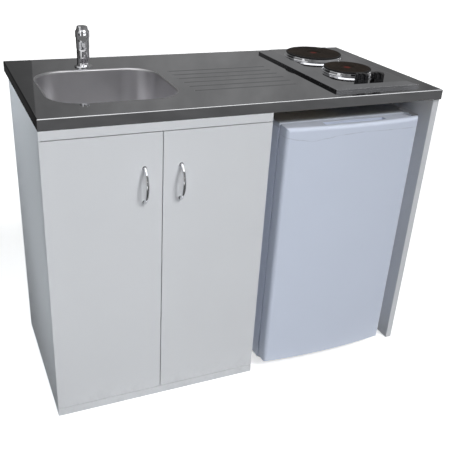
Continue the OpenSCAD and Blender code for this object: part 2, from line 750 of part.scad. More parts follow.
// A cast hotplate: a thick disc with a dished middle, shallow grooves and a central stud below
module hotplate(plate_r, y) {
    unit() color(iron) translate([plate_cx, y, hob_floor_z + ring_h]) {
        rotate_extrude() difference() {
            polygon([[0, 0], [plate_r - 2, 0], [plate_r, 1.5], [plate_r, plate_t - 1.5],
                [plate_r - 1.5, plate_t], [24, plate_t], [21, plate_t - 1.5], [0, plate_t - 1.5]]);
            for (r = [34:12:plate_r - 10]) translate([r, plate_t - 0.4]) square([1.2, eps]);
        }
        translate([0, 0, -ring_h - sheet_t - 16]) cylinder(h = ring_h + sheet_t + 16, r = plate_r - 18);
        translate([0, 0, -hob_floor_z - ring_h + deck_z - hob_box_h + 1])
            cylinder(h = hob_floor_z + ring_h - deck_z + hob_box_h - 1, r = 4);
    }
}

module rear_hotplate() hotplate(rear_plate_r, rear_plate_y);
module front_hotplate() hotplate(front_plate_r, front_plate_y);

// The two rotary switches, clamped under the tray
module hob_switches() unit() color(grey_plastic)
    for (x = knob_xs) translate([x, knob_y, hob_floor_z - sheet_t - switch_h]) difference() {
        union() {
            translate([-19, -15, 0]) cube([38, 30, switch_h - 6]);
            cylinder(h = switch_h, r = 12);
        }
        translate([0, 0, 10]) cylinder(h = switch_h, r = spindle_r + run_gap);
    }

module spindle(x) {
    unit() color(chrome) translate([x, knob_y, spindle_low]) difference() {
        cylinder(h = spindle_top - spindle_low, r = spindle_r);
        translate([-spindle_r, spindle_r * 0.5, hob_floor_z - spindle_low + 6])
            cube([2 * spindle_r, spindle_r, spindle_top - spindle_low]);
    }
}

module left_spindle() spindle(knob_xs[0]);
module right_spindle() spindle(knob_xs[1]);

// A knob with rounded lobes round a tapering core, and a pointer ridge on top
module knob(x) {
    lobe_r = knob_r * 0.3;
    unit() color(black) translate([x, knob_y, hob_floor_z + seat_gap]) difference() {
        union() {
            cylinder(h = 5, r = knob_r - 1);
            cylinder(h = knob_h - 3, r = knob_r - lobe_r * 0.7);
            for (a = [0:60:300]) rotate([0, 0, a]) translate([knob_r - lobe_r, 0, 0]) {
                cylinder(h = knob_h - 3, r = lobe_r);
            }
            cylinder(h = knob_h - 1, r = knob_r - lobe_r * 1.4);
            translate([-1.5, -knob_r + 2, 0]) cube([3, knob_r - 2, knob_h]);
        }
        difference() {
            translate([0, 0, -eps]) cylinder(h = spindle_top - hob_floor_z + eps, r = spindle_r + fit_gap);
            translate([-spindle_r - 1, spindle_r * 0.5 + fit_gap, 6.5]) cube([2 * spindle_r + 2, 4, knob_h]);
        }
    }
}

module left_knob() knob(knob_xs[0]);
module right_knob() knob(knob_xs[1]);

module cable_gland() unit() color(black)
    translate([hob_x + hob_w - box_in - gland_in, hob_y + hob_d - box_in - gland_back, deck_z - hob_box_h])
        rotate([180, 0, 0]) difference() {
            union() {
                translate([0, 0, -8]) cylinder(h = 10, r = gland_r - fit_gap);
                translate([0, 0, -8]) cylinder(h = 8 - pan_t, r = gland_r + 2.5);
                cylinder(h = 5, r = gland_r + 4);
                cylinder(h = 18, r = gland_r - 1);
            }
            translate([0, 0, -9]) cylinder(h = 40, r = gland_r - 3.5);
        }

// ---- Cupboard ----

module side_panel(x, hole_side) {
    unit() color(white_board) difference() {
        translate([x, front_t, 0]) cube([board_t, carcass_d - front_t, under_z]);
        for (y = [front_t + 60, carcass_d - 70]) translate([hole_side, y, shelf_z - shelf_pin_r])
            rotate([0, 90, 0]) cylinder(h = 2 * 9, r = shelf_pin_r, center = true);
    }
}

module left_side() side_panel(0, board_t);
module right_side() side_panel(cupboard_w - board_t, cupboard_w - board_t);

module bottom_panel() unit() color(white_board)
    translate([board_t, front_t, bottom_z]) cube([inner_w, inner_d, board_t]);

module back_panel() unit() color(white_board) difference() {
    translate([board_t, carcass_d - back_t, bottom_z])
        cube([inner_w, back_t, under_z - rail_h - bottom_z]);
    translate([bowl_cx - vent_w / 2, carcass_d - back_t - eps, trap_axis_z - vent_h / 2])
        cube([vent_w, back_t + 2 * eps, vent_h]);
}

// A rail across the front, flush with the doors, with the holes for the pivot pins
module front_rail(z, h, hole_z) {
    unit() color(white_board) difference() {
        translate([0, 0, z]) cube([cupboard_w, front_t, h]);
        for (x = [pivot_in, cupboard_w - pivot_in]) translate([x, pivot_y, hole_z]) cylinder(h = 10, r = pivot_r);
    }
}

module fascia_rail() front_rail(fascia_z, fascia_h, fascia_z - eps);
module plinth_rail() front_rail(0, plinth_h, plinth_h - 10 + eps);

module rear_rail() unit() color(white_board) difference() {
    translate([board_t, carcass_d - board_t, under_z - rail_h]) cube([inner_w, board_t, rail_h]);
    translate([tap_x - notch_w / 2, carcass_d - board_t - eps, under_z - notch_h])
        cube([notch_w, board_t + 2 * eps, notch_h + eps]);
    for (s = [-1, 1]) translate([cupboard_w / 2 + s * fixing_pitch / 2, carcass_d - board_t - eps, under_z - rail_h / 2])
        rotate([-90, 0, 0]) cylinder(h = board_t + 2 * eps, r = fixing_d / 2);
}

module shelf() unit() color(white_board)
    translate([board_t + fit_gap, front_t + 20, shelf_z]) cube([inner_w - 2 * fit_gap, inner_d - 22, board_t]);

module shelf_pins() unit() color(chrome)
    for (s = [[board_t, 1], [cupboard_w - board_t, -1]], y = [front_t + 60, carcass_d - 70])
        translate([s[0], y, shelf_z - shelf_pin_r]) rotate([0, s[1] * 90, 0]) {
            translate([0, 0, -8.5]) cylinder(h = 17, r = shelf_pin_r);
            cylinder(h = 1.5, r = shelf_pin_r);
        }

// A door panel with a bore at its top and bottom edges for the pivot pins
module door_panel(x, pivot_x) {
    unit() color(white_board) difference() {
        translate([x, 0, door_z]) cube([door_w, door_t, door_h]);
        translate([pivot_x, pivot_y, door_z - eps]) cylinder(h = pivot_l + 1 + eps, r = pivot_r + run_gap);
        translate([pivot_x, pivot_y, door_z + door_h - pivot_l - 1])
            cylinder(h = pivot_l + 1 + eps, r = pivot_r + run_gap);
        for (hx = handle_xs, s = [-1, 1]) if (hx > x && hx < x + door_w)
            translate([hx, -eps, handle_z + s * handle_span / 2]) rotate([-90, 0, 0])
                cylinder(h = door_t + 2 * eps, r = 2.25);
    }
}

module left_door() door_panel(0, pivot_in);
module right_door() door_panel(cupboard_w - door_w, cupboard_w - pivot_in);

// A bow handle: an arched round bar on two feet
module handle(x) {
    bar_y = -handle_proj + handle_r;
    foot_y = bar_y + handle_rise;
    unit() color(chrome) translate([x, 0, handle_z]) difference() {
        union() {
            translate([0, bar_y + arch_r, 0]) rotate([0, 90, 0]) rotate([0, 0, 270 - arch_a])
                rotate_extrude(angle = 2 * arch_a) translate([arch_r, 0]) circle(handle_r);
            for (s = [-1, 1]) translate([0, 0, s * handle_span / 2]) {
                translate([0, foot_y, 0]) sphere(handle_r);
                translate([0, 0, 0]) rotate([90, 0, 0]) cylinder(h = -foot_y, r = handle_r);
                rotate([90, 0, 0]) cylinder(h = 2, r = handle_r + 1.5);
            }
        }
        for (s = [-1, 1]) translate([0, eps, s * handle_span / 2]) rotate([90, 0, 0]) cylinder(h = 7, r = 2);
    }
}

module left_handle() handle(handle_xs[0]);
module right_handle() handle(handle_xs[1]);

// The two handle screws and the strike plate on the back of a door
module door_fixings(x, strike_x) {
    unit() color(chrome) {
        for (s = [-1, 1]) translate([x, 0, handle_z + s * handle_span / 2]) rotate([-90, 0, 0]) {
            translate([0, 0, -5]) cylinder(h = door_t + 5, r = 1.9);
            translate([0, 0, door_t]) cylinder(h = 1.8, r = 3.8);
        }
        translate([strike_x - 12, door_t, door_z + door_h - 20]) cube([24, 1, 14]);
    }
}

module left_door_fixings() door_fixings(handle_xs[0], cupboard_w / 2 - 26);
module right_door_fixings() door_fixings(handle_xs[1], cupboard_w / 2 + 26);

// The four pins that the doors turn on, each with a collar in the gap
module pivot_pins() unit() color(chrome)
    for (x = [pivot_in, cupboard_w - pivot_in]) translate([x, pivot_y, 0]) {
        translate([0, 0, plinth_h - 9]) cylinder(h = 9 + reveal + pivot_l, r = pivot_r);
        translate([0, 0, plinth_h]) cylinder(h = reveal - seat_gap, r = pivot_r + 2);
        translate([0, 0, fascia_z - reveal - pivot_l]) cylinder(h = 9 + reveal + pivot_l, r = pivot_r);
        translate([0, 0, fascia_z - reveal + seat_gap]) cylinder(h = reveal - seat_gap, r = pivot_r + 2);
    }

module magnet_catches() unit() color([0.93, 0.93, 0.9])
    for (s = [-1, 1]) translate([cupboard_w / 2 + s * 26 - 16, 0, 0]) {
        translate([0, front_t, fascia_z - 24]) cube([32, 14, 42]);
        translate([2, door_t + 1 + seat_gap, fascia_z - 22]) cube([28, door_gap, 14]);
    }

// ---- Bay ----

module end_panel() unit() color(white_board)
    translate([end_x, end_y, 0]) cube([end_t, carcass_d - end_y, under_z]);

module bay_rail() unit() color(white_board)
    translate([cupboard_w, carcass_d - board_t, rail_z]) cube([end_x - cupboard_w, board_t, rail_h]);

// ---- Refrigerator ----

module fridge_cabinet() unit() color(fridge_white) difference() {
    translate([fx, fc_y, foot_h]) cube([fridge_w, fridge_d, fc_top - foot_h]);
    translate([cav_x, fc_y - eps, cav_z + step_h]) cube([cav_w, cav_d + eps, cav_top - cav_z - step_h]);
    translate([cav_x, fc_y - eps, cav_z]) cube([cav_w, step_y - wall_t - fc_y + eps, step_h + eps]);
    translate([fx + machine_in, step_y, foot_h - eps])
        cube([fridge_w - 2 * machine_in, fc_back - step_y + eps, cav_z + step_h - wall_t - foot_h + eps]);
}

// The moulded lining, with ledges for the shelf
module fridge_liner() unit() color([0.93, 0.95, 0.97]) {
    difference() {
        union() {
            translate([cav_x, fc_y, cav_z + step_h]) cube([cav_w, cav_d, cav_top - cav_z - step_h]);
            translate([cav_x, fc_y, cav_z]) cube([cav_w, step_y - wall_t - fc_y, step_h]);
        }
        translate([fl_x, fc_y - eps, fl_z + step_h])
            cube([fl_w, fl_back - fc_y + eps, fl_top - fl_z - step_h]);
        translate([fl_x, fc_y - eps, fl_z])
            cube([fl_w, step_y - wall_t - liner_t - fc_y + eps, step_h + eps]);
        translate([fl_x + fl_w - eps, knob_pos_y, knob_pos_z]) rotate([0, 90, 0]) cylinder(h = 4, r = 3 + run_gap);
    }
    for (x = [fl_x, fl_x + fl_w - ledge_w]) for (z = [fl_z + glass_z - ledge_w])
        translate([x, fc_y + dyke_d + ledge_w, z])
            cube([ledge_w, fl_back - fc_y - dyke_d - ledge_w, ledge_w]);
}

module fridge_top() unit() color(fridge_white)
    translate([fx - 1, lid_y, fc_top]) round_top_block(fridge_w + 2, fc_back - lid_y, lid_t, lid_r);

// The door's outline from above: rounded upright edges and a bowed front
module door_plan() {
    r = door_edge_r;
    translate([r, 0]) square([fridge_w - 2 * r, fridge_door_t]);
    translate([0, r]) square([fridge_w, fridge_door_t - r]);
    for (x = [r, fridge_w - r]) translate([x, r]) circle(r);
    intersection() {
        translate([fridge_w / 2, bow_r - door_bow]) circle(bow_r, $fn = 360);
        translate([r, -door_bow - eps]) square([fridge_w - 2 * r, door_bow + 2 * eps]);
    }
}

// The door's section from the side, out to the bow's radius, with rounded front edges
module door_section(h) {
    in = bow_r - 2 * fridge_door_t;
    translate([in, 0]) square([2 * fridge_door_t - door_edge_r, h]);
    translate([in, door_edge_r / 2]) square([2 * fridge_door_t, h - 1.5 * door_edge_r]);
    translate([bow_r - door_edge_r, h - door_edge_r]) circle(door_edge_r);
    translate([bow_r - door_edge_r / 2, door_edge_r / 2]) circle(door_edge_r / 2);
    translate([bow_r - door_edge_r, 0]) square([door_edge_r / 2, h / 2]);
}

module fridge_door() unit() color(fridge_white) difference() {
    tall = fridge_door_top - fridge_door_z;
    swing = asin(fridge_w / bow_r);
    translate([fx, door_front_y, fridge_door_z]) intersection() {
        linear_extrude(tall) door_plan();
        translate([fridge_w / 2, bow_r - door_bow, 0]) rotate([0, 0, 270 - swing])
            rotate_extrude(angle = 2 * swing, $fn = 720) door_section(tall);
    }
    translate([hinge_x, hinge_y, fridge_door_z - eps]) cylinder(h = pin_deep + 2 + eps, r = hinge_pin_r + run_gap);
    translate([hinge_x, hinge_y, fridge_door_top - pin_deep - 2])
        cylinder(h = pin_deep + 2 + eps, r = hinge_pin_r + run_gap);
    translate([fx + grip_left, door_front_y + grip_in, fridge_door_top - grip_deep])
        cube([fridge_w - grip_left - grip_right, grip_w, grip_deep + eps]);
}

// The inner door: a tray of racks that reaches into the cabinet
module door_liner() unit() color([0.93, 0.95, 0.97]) {
    dl_x = cav_x + dyke_in;
    dl_w = cav_w - 2 * dyke_in;
    dl_z = fl_z + 4;
    dl_h = fl_top - fl_z - 8;
    plate_in = gasket_in + gasket_w + 1;
    translate([fx + plate_in, door_back_y, fridge_door_z + plate_in])
        cube([fridge_w - 2 * plate_in, 2, fc_top - fridge_door_z - 2 * plate_in]);
    for (x = [dl_x, dl_x + dl_w - dyke_t])
        translate([x, door_back_y + 2, dl_z]) cube([dyke_t, gasket_t + dyke_d - 2, dl_h]);
    for (z = rack_zs) translate([dl_x + dyke_t, door_back_y + 2, z]) {
        cube([dl_w - 2 * dyke_t, gasket_t + dyke_d - 2, rack_t]);
        translate([0, gasket_t + dyke_d - 2 - rack_t, 0]) cube([dl_w - 2 * dyke_t, rack_t, rack_h]);
    }
}

// The magnetic seal, a frame between the door and the cabinet
module door_gasket() unit() color([0.8, 0.82, 0.84]) difference() {
    inner = gasket_in + gasket_w;
    low = fridge_door_z + gasket_in;
    high = fc_top - gasket_in + 4;
    translate([fx + gasket_in, door_back_y, low])
        cube([fridge_w - 2 * gasket_in, gasket_t - seat_gap, high - low]);
    translate([fx + inner, door_back_y - eps, low + gasket_w])
        cube([fridge_w - 2 * inner, gasket_t + 2 * eps, high - low - 2 * gasket_w]);
}

// The brackets that hold the door: each a plate with a pin
module hinge_brackets() unit() color(chrome) {
    low = fridge_door_z - seat_gap;
    left = hinge_x - bracket_w + bracket_front + 2;
    front = hinge_y - bracket_front;
    translate([left, front, low - bracket_t]) cube([bracket_w, fc_y - front, bracket_t]);
    translate([left, fc_y - bracket_t, low - 3 * bracket_t]) cube([bracket_w, bracket_t, 3 * bracket_t]);
    translate([hinge_x, hinge_y, low - bracket_t]) cylinder(h = bracket_t + seat_gap + pin_deep, r = hinge_pin_r);
    translate([left, front, fridge_h]) cube([bracket_w, fc_y + bracket_lap - front, bracket_t]);
    translate([hinge_x, hinge_y, fridge_door_top - pin_deep])
        cylinder(h = pin_deep + door_under_lid + bracket_t, r = hinge_pin_r);
    translate([hinge_x, hinge_y, fridge_door_top + seat_gap])
        cylinder(h = door_under_lid - seat_gap, r = hinge_pin_r + 2);
}

// The ice box: an open-fronted aluminium evaporator under the ceiling
module icebox() unit() color([0.8, 0.82, 0.84]) difference() {
    translate([ice_x, ice_y, ice_z]) cube([ice_w, icebox_d, icebox_h]);
    translate([ice_x + ice_t, ice_y - eps, ice_z + ice_t])
        cube([ice_w - 2 * ice_t, icebox_d - ice_t + eps, icebox_h - 2 * ice_t]);
    for (x = [ice_x - eps, ice_x + ice_w - ice_t - eps])
        translate([x, ice_y + 4, ice_z + icebox_h - 8]) rotate([0, 90, 0])
            cylinder(h = ice_t + 2 * eps, r = flap_pin_r + run_gap);
}

// The ice box's flap, hung on two pins at its upper corners
module icebox_flap() unit() color([0.85, 0.9, 0.95]) {
    gap = ice_t + seat_gap;
    axis_z = ice_z + icebox_h - 8;
    translate([ice_x + gap, ice_y + 1, ice_z + gap]) cube([ice_w - 2 * gap, flap_t, icebox_h - 2 * gap - 10]);
    translate([ice_x + gap, ice_y + 4, axis_z]) rotate([0, 90, 0]) cylinder(h = ice_w - 2 * gap, r = 4);
    translate([ice_x, ice_y + 4, axis_z]) rotate([0, 90, 0]) cylinder(h = ice_w, r = flap_pin_r);
    translate([ice_x + ice_w / 2 - 30, ice_y - 5, ice_z + gap + 6]) cube([60, 7, 5]);
}

module glass_shelf() unit() color([0.7, 0.85, 0.85, 0.5])
    translate([fl_x + 1, fc_y + dyke_d + 12, fl_z + glass_z]) cube([fl_w - 2, fl_back - fc_y - dyke_d - 14, 5]);

module crisper_drawer() unit() color([0.75, 0.85, 0.9, 0.6]) difference() {
    crisper_w = fl_w - 2 * crisper_side;
    translate([fl_x + crisper_side, crisper_y, fl_z]) cube([crisper_w, crisper_d, crisper_h]);
    translate([fl_x + crisper_side + crisper_t, crisper_y + crisper_t, fl_z + crisper_t])
        cube([crisper_w - 2 * crisper_t, crisper_d - 2 * crisper_t, crisper_h]);
}

module thermostat_knob() unit() color(grey_plastic)
    translate([fl_x + fl_w, knob_pos_y, knob_pos_z]) rotate([0, -90, 0]) {
        translate([0, 0, seat_gap]) cylinder(h = 10, r = 14);
        translate([0, 0, seat_gap - liner_t]) cylinder(h = liner_t + eps, r = 3);
        translate([-1.5, -13, seat_gap]) cube([3, 26, 14]);
    }

module fridge_feet() unit() color(black)
    for (x = [fx + foot_in, fx + fridge_w - foot_in], y = [fc_y + foot_in, step_y - foot_in])
        translate([x, y, 0]) {
            cylinder(h = foot_h, r = foot_r);
            cylinder(h = foot_h * 0.3, r = foot_pad_r);
        }

// The compressor on its plate, and the condenser grid it feeds
module cooling_unit() unit() color(black) {
    grid_y = fc_back + grid_gap;
    grid_x = fx + grid_in;
    grid_w = fridge_w - 2 * grid_in;
    low = foot_h + step_h + 2 * grid_in;
    high = fc_top - 2 * grid_in;
    pitch = (high - low) / grid_runs;
    plate_z = foot_h + 2 * plate_sheet;
    pot_z = plate_z + plate_sheet;
    pot_x = fx + fridge_w * 0.62;
    pot_y = fc_back - machine_d + pot_r;
    pipe_z = pot_z + pot_h * 0.6;
    translate([fx + machine_in, fc_back - machine_d, plate_z])
        cube([fridge_w - 2 * machine_in, machine_d - 10, plate_sheet]);
    translate([pot_x, pot_y, pot_z]) {
        cylinder(h = pot_h, r = pot_r);
        translate([0, 0, pot_h]) intersection() {
            sphere(pot_r);
            cylinder(h = pot_r * 0.7, r = pot_r + 2);
        }
    }
    for (i = [0:grid_runs]) translate([grid_x, grid_y, low + i * pitch]) rotate([0, 90, 0])
        cylinder(h = grid_w, r = pipe_r);
    for (i = [0:grid_runs - 1]) translate([i % 2 == 0 ? grid_x + grid_w : grid_x, grid_y, low + i * pitch])
        cylinder(h = pitch, r = pipe_r);
    for (i = [0:grid_wires - 1])
        translate([grid_x + pot_r / 2 + i * (grid_w - pot_r) / (grid_wires - 1), grid_y - pipe_r - wire_r / 2, low - 8])
            cylinder(h = high - low + 16, r = wire_r);
    for (x = [grid_x, grid_x + grid_w], z = [low + pitch / 2, high - pitch / 2])
        translate([x - 6, fc_back, z - 5]) cube([12, grid_gap, 10]);
    translate([grid_x + grid_w, grid_y, pipe_z]) cylinder(h = low - pipe_z, r = pipe_r);
    translate([pot_x, grid_y, pipe_z]) rotate([0, 90, 0]) cylinder(h = grid_x + grid_w - pot_x, r = pipe_r);
    for (at = [[grid_x + grid_w, pipe_z], [pot_x, pipe_z]]) translate([at[0], grid_y, at[1]]) sphere(pipe_r);
    translate([pot_x, pot_y, pipe_z]) rotate([-90, 0, 0]) cylinder(h = grid_y - pot_y, r = pipe_r);
}

worktop();
worktop_core();
sink_bowl();
waste_fitting();
waste_nut();
strainer_basket();
trap();
tap_body();
tap_head();
tap_spout();
tap_aerator();
lever_hub();
tap_lever();
tap_nut();
tap_tails();
hob_tray();
hob_box();
rear_ring();
front_ring();
rear_hotplate();
front_hotplate();
hob_switches();
left_knob();
right_knob();
left_spindle();
right_spindle();
cable_gland();
left_side();
right_side();
bottom_panel();
back_panel();
fascia_rail();
plinth_rail();
rear_rail();
shelf();
shelf_pins();
left_door();
right_door();
left_handle();
right_handle();
left_door_fixings();
right_door_fixings();
pivot_pins();
magnet_catches();
end_panel();
bay_rail();
fridge_cabinet();
fridge_liner();
fridge_top();
fridge_door();
door_liner();
door_gasket();
hinge_brackets();
icebox();
icebox_flap();
glass_shelf();
crisper_drawer();
thermostat_knob();
fridge_feet();
cooling_unit();
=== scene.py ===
"""Looks of the kitchenette unit: materials, softened edges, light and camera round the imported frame."""
import math

import bpy
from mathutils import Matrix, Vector


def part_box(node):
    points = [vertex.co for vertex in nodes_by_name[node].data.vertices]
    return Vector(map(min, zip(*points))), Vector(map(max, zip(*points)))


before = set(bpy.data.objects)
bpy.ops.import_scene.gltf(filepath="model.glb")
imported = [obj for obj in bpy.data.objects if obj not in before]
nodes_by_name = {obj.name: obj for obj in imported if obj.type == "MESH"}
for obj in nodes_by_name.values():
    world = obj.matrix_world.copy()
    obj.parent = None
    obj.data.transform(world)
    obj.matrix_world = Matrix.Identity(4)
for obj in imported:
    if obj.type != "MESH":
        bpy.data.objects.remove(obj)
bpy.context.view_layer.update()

scene = bpy.context.scene
MM = 0.001


# ---------------------------------------------------------------- node helpers

def new_material(name):
    """A material with an empty tree but for its Principled shader."""
    mat = bpy.data.materials.new(name)
    mat.use_nodes = True
    tree = mat.node_tree
    tree.nodes.clear()
    out = tree.nodes.new("ShaderNodeOutputMaterial")
    shader = tree.nodes.new("ShaderNodeBsdfPrincipled")
    tree.links.new(shader.outputs[0], out.inputs[0])
    return mat, tree, shader


def node(tree, kind, inputs=None, **settings):
    """One node, with its settings and its inputs: a value, or the socket that feeds it."""
    made = tree.nodes.new("ShaderNode" + kind)
    for key, value in settings.items():
        setattr(made, key, value)
    for key, value in (inputs or {}).items():
        if isinstance(value, bpy.types.NodeSocket):
            tree.links.new(value, made.inputs[key])
        else:
            made.inputs[key].default_value = value
    return made


def place(tree):
    """The point on the object at rest, in metres."""
    return node(tree, "TexCoord").outputs["Object"]


def along(tree, axis):
    """One coordinate of the point on the object, in metres."""
    return node(tree, "SeparateXYZ", {0: place(tree)}).outputs[axis]


def stretched(tree, scale):
    """The point on the object, scaled along each axis."""
    return node(tree, "Mapping", {"Vector": place(tree), "Scale": scale}).outputs[0]


def noise(tree, scale, detail=3.0, roughness=0.5, vector=None):
    """Soft random clouds from 0 to 1."""
    inputs = {"Vector": vector or place(tree), "Scale": scale, "Detail": detail, "Roughness": roughness}
    return node(tree, "TexNoise", inputs).outputs["Fac"]


def ramp(tree, fac, stops, mode="LINEAR"):
    """A colour ramp: stops are (position, grey or colour)."""
    made = node(tree, "ValToRGB", {"Fac": fac})
    made.color_ramp.interpolation = mode
    elements = made.color_ramp.elements
    while len(elements) < len(stops):
        elements.new(0.5)
    for element, (position, colour) in zip(elements, stops):
        element.position = position
        rgb = (colour,) * 3 if isinstance(colour, (int, float)) else tuple(colour)
        element.color = rgb + (1,)
    return made.outputs[0]


def mix(tree, fac, first, second, blend="MIX"):
    """A mix of two colours, each a socket or a colour."""
    made = node(tree, "Mix", data_type="RGBA", blend_type=blend)
    for key, value in ((0, fac), (6, first), (7, second)):
        if isinstance(value, bpy.types.NodeSocket):
            tree.links.new(value, made.inputs[key])
        elif key == 0:
            made.inputs[0].default_value = value
        else:
            made.inputs[key].default_value = tuple(value) + (1,)
    return made.outputs[2]


def maths(tree, operation, first, second=0.0, clamp=False):
    """One sum, product or other operation on two numbers, each a socket or a value."""
    return node(tree, "Math", {0: first, 1: second}, operation=operation, use_clamp=clamp).outputs[0]


def spread(tree, fac, low, high):
    """A factor from 0 to 1 as a number from low to high."""
    return node(tree, "MapRange", {"Value": fac, "To Min": low, "To Max": high}).outputs[0]


def share(tree, value, low, high):
    """How far a value is from low to high, from 0 to 1."""
    return node(tree, "MapRange", {"Value": value, "From Min": low, "From Max": high}).outputs[0]


def bump(tree, shader, height, strength, distance):
    """Fine relief on the shader's normal."""
    made = node(tree, "Bump", {"Height": height, "Strength": strength, "Distance": distance})
    tree.links.new(made.outputs[0], shader.inputs["Normal"])


def feed(tree, shader, socket, value):
    """Links a socket to the shader, or sets a plain value on it."""
    if isinstance(value, bpy.types.NodeSocket):
        tree.links.new(value, shader.inputs[socket])
    else:
        shader.inputs[socket].default_value = value


def radius_from(tree, centre):
    """Distance in metres from an upright axis through centre."""
    away = node(tree, "VectorMath", {0: place(tree), 1: tuple(centre)}, operation="SUBTRACT").outputs[0]
    flat = node(tree, "VectorMath", {0: away, 1: (1, 1, 0)}, operation="MULTIPLY").outputs[0]
    return node(tree, "VectorMath", {0: flat}, operation="LENGTH").outputs["Value"]


# ---------------------------------------------------------------- materials

def metal(name, colour, rough, grain=(40, 40, 40), grain_depth=0.05, patchy=0.06, waves=0.0, smears=0.0):
    """Plated or rolled metal: a fine grain, patchy polish, smears from cloths and long waves in the sheet."""
    mat, tree, shader = new_material(name)
    shader.inputs["Metallic"].default_value = 1.0
    smudge = noise(tree, 9, 4, 0.6)
    worn = [c * (1 - patchy) for c in colour]
    feed(tree, shader, "Base Color", ramp(tree, smudge, [(0.3, worn), (0.7, colour)]))
    fine = noise(tree, 30, 2, 0.5, stretched(tree, grain))
    wiped = ramp(tree, noise(tree, 7, 5, 0.7, stretched(tree, (1, 2.4, 1))), [(0.48, 0.0), (0.72, 1.0)])
    rough_here = spread(tree, mix(tree, 0.5, fine, smudge), rough * 0.7, rough * 1.5)
    feed(tree, shader, "Roughness", maths(tree, "ADD", rough_here, maths(tree, "MULTIPLY", wiped, smears)))
    height = maths(tree, "ADD", maths(tree, "MULTIPLY", fine, grain_depth),
                   maths(tree, "MULTIPLY", noise(tree, 5, 1, 0.4), waves))
    bump(tree, shader, height, 0.6, 0.001)
    return mat


def moulded(name, colour, rough, mottle=0.03, grain=900, grain_depth=0.06, coat=0.0):
    """Moulded plastic, enamel or a printed board face: an even colour with a fine skin."""
    mat, tree, shader = new_material(name)
    cloud = noise(tree, 3, 3, 0.6)
    dark = [c * (1 - mottle) for c in colour]
    feed(tree, shader, "Base Color", ramp(tree, cloud, [(0.3, dark), (0.7, colour)]))
    feed(tree, shader, "Roughness", spread(tree, noise(tree, 14, 3, 0.6), rough * 0.85, rough * 1.2))
    shader.inputs["Coat Weight"].default_value = coat
    shader.inputs["Coat Roughness"].default_value = 0.12
    bump(tree, shader, noise(tree, grain, 2, 0.5), grain_depth, 0.0005)
    return mat


def board(name, colour):
    """Melamine faced board: a pearled print, a leathery press skin, and faint scuffs near the floor."""
    mat, tree, shader = new_material(name)
    pearl = noise(tree, 420, 2, 0.6)
    cloud = noise(tree, 2.5, 3, 0.55)
    tone = mix(tree, 0.35, cloud, pearl)
    base = ramp(tree, tone, [(0.3, [c * 0.955 for c in colour]), (0.7, colour)])
    low = maths(tree, "SUBTRACT", 1.0, share(tree, along(tree, 2), 0.0, 0.09), clamp=True)
    scuff = maths(tree, "MULTIPLY", low, ramp(tree, noise(tree, 24, 5, 0.7), [(0.45, 0.0), (0.75, 0.5)]))
    feed(tree, shader, "Base Color", mix(tree, scuff, base, [c * 0.72 for c in colour]))
    feed(tree, shader, "Roughness", spread(tree, cloud, 0.36, 0.5))
    shader.inputs["Specular IOR Level"].default_value = 0.4
    bump(tree, shader, noise(tree, 1100, 2, 0.5), 0.06, 0.0005)
    return mat


def chipboard(name):
    """Raw pressed chips in several browns."""
    mat, tree, shader = new_material(name)
    chips = node(tree, "TexVoronoi", {"Vector": stretched(tree, (1, 1, 2.5)), "Scale": 260})
    tone = node(tree, "SeparateColor", {0: chips.outputs["Color"]}).outputs[0]
    feed(tree, shader, "Base Color",
         ramp(tree, tone, [(0.1, (0.24, 0.15, 0.08)), (0.5, (0.5, 0.36, 0.2)), (0.9, (0.68, 0.54, 0.34))]))
    shader.inputs["Roughness"].default_value = 0.85
    bump(tree, shader, tone, 0.5, 0.0006)
    return mat


def fridge_skin(name, colour):
    """Pebbled enamel on the refrigerator's door, with the shallow wavy line pressed in below its top and
    painted shade along that line.
    """
    mat, tree, shader = new_material(name)
    line_left, line_right = 70 * MM, 510 * MM
    line_low, line_high = 794 * MM, 811 * MM
    step_half, line_half = 1.2 * MM, 3 * MM
    cloud = noise(tree, 2.2, 3, 0.6)
    across = share(tree, along(tree, 0), line_left, line_right)
    swing = ramp(tree, across, [(0.0, 0.85), (0.1, 0.4), (0.19, 0.05), (0.29, 0.4), (0.39, 0.8), (0.57, 1.0),
                                (0.78, 0.85), (1.0, 0.7)], "EASE")
    above = maths(tree, "SUBTRACT", along(tree, 2), spread(tree, swing, line_low, line_high))
    step = node(tree, "MapRange", {"Value": above, "From Min": -step_half, "From Max": step_half},
                interpolation_type="SMOOTHSTEP").outputs[0]
    # Painted shade: a soft band along the pressed line, frayed by noise, where the enamel darkens by up to
    # about a fifth
    line = ramp(tree, share(tree, above, -line_half, line_half), [(0.2, 0.0), (0.5, 1.0), (0.8, 0.0)])
    line = maths(tree, "MULTIPLY", line, ramp(tree, noise(tree, 30, 2), [(0.4, 0.25), (0.6, 1.0)]))
    base = ramp(tree, cloud, [(0.3, [c * 0.975 for c in colour]), (0.7, colour)])
    shadowed = [c * 0.5 for c in colour]
    feed(tree, shader, "Base Color", mix(tree, maths(tree, "MULTIPLY", line, 0.45), base, shadowed))
    feed(tree, shader, "Roughness", spread(tree, noise(tree, 14, 3, 0.6), 0.27, 0.37))
    height = maths(tree, "ADD", maths(tree, "MULTIPLY", noise(tree, 620, 2, 0.5), 0.12),
                   maths(tree, "MULTIPLY", step, 0.9))
    bump(tree, shader, height, 0.5, 0.0006)
    return mat


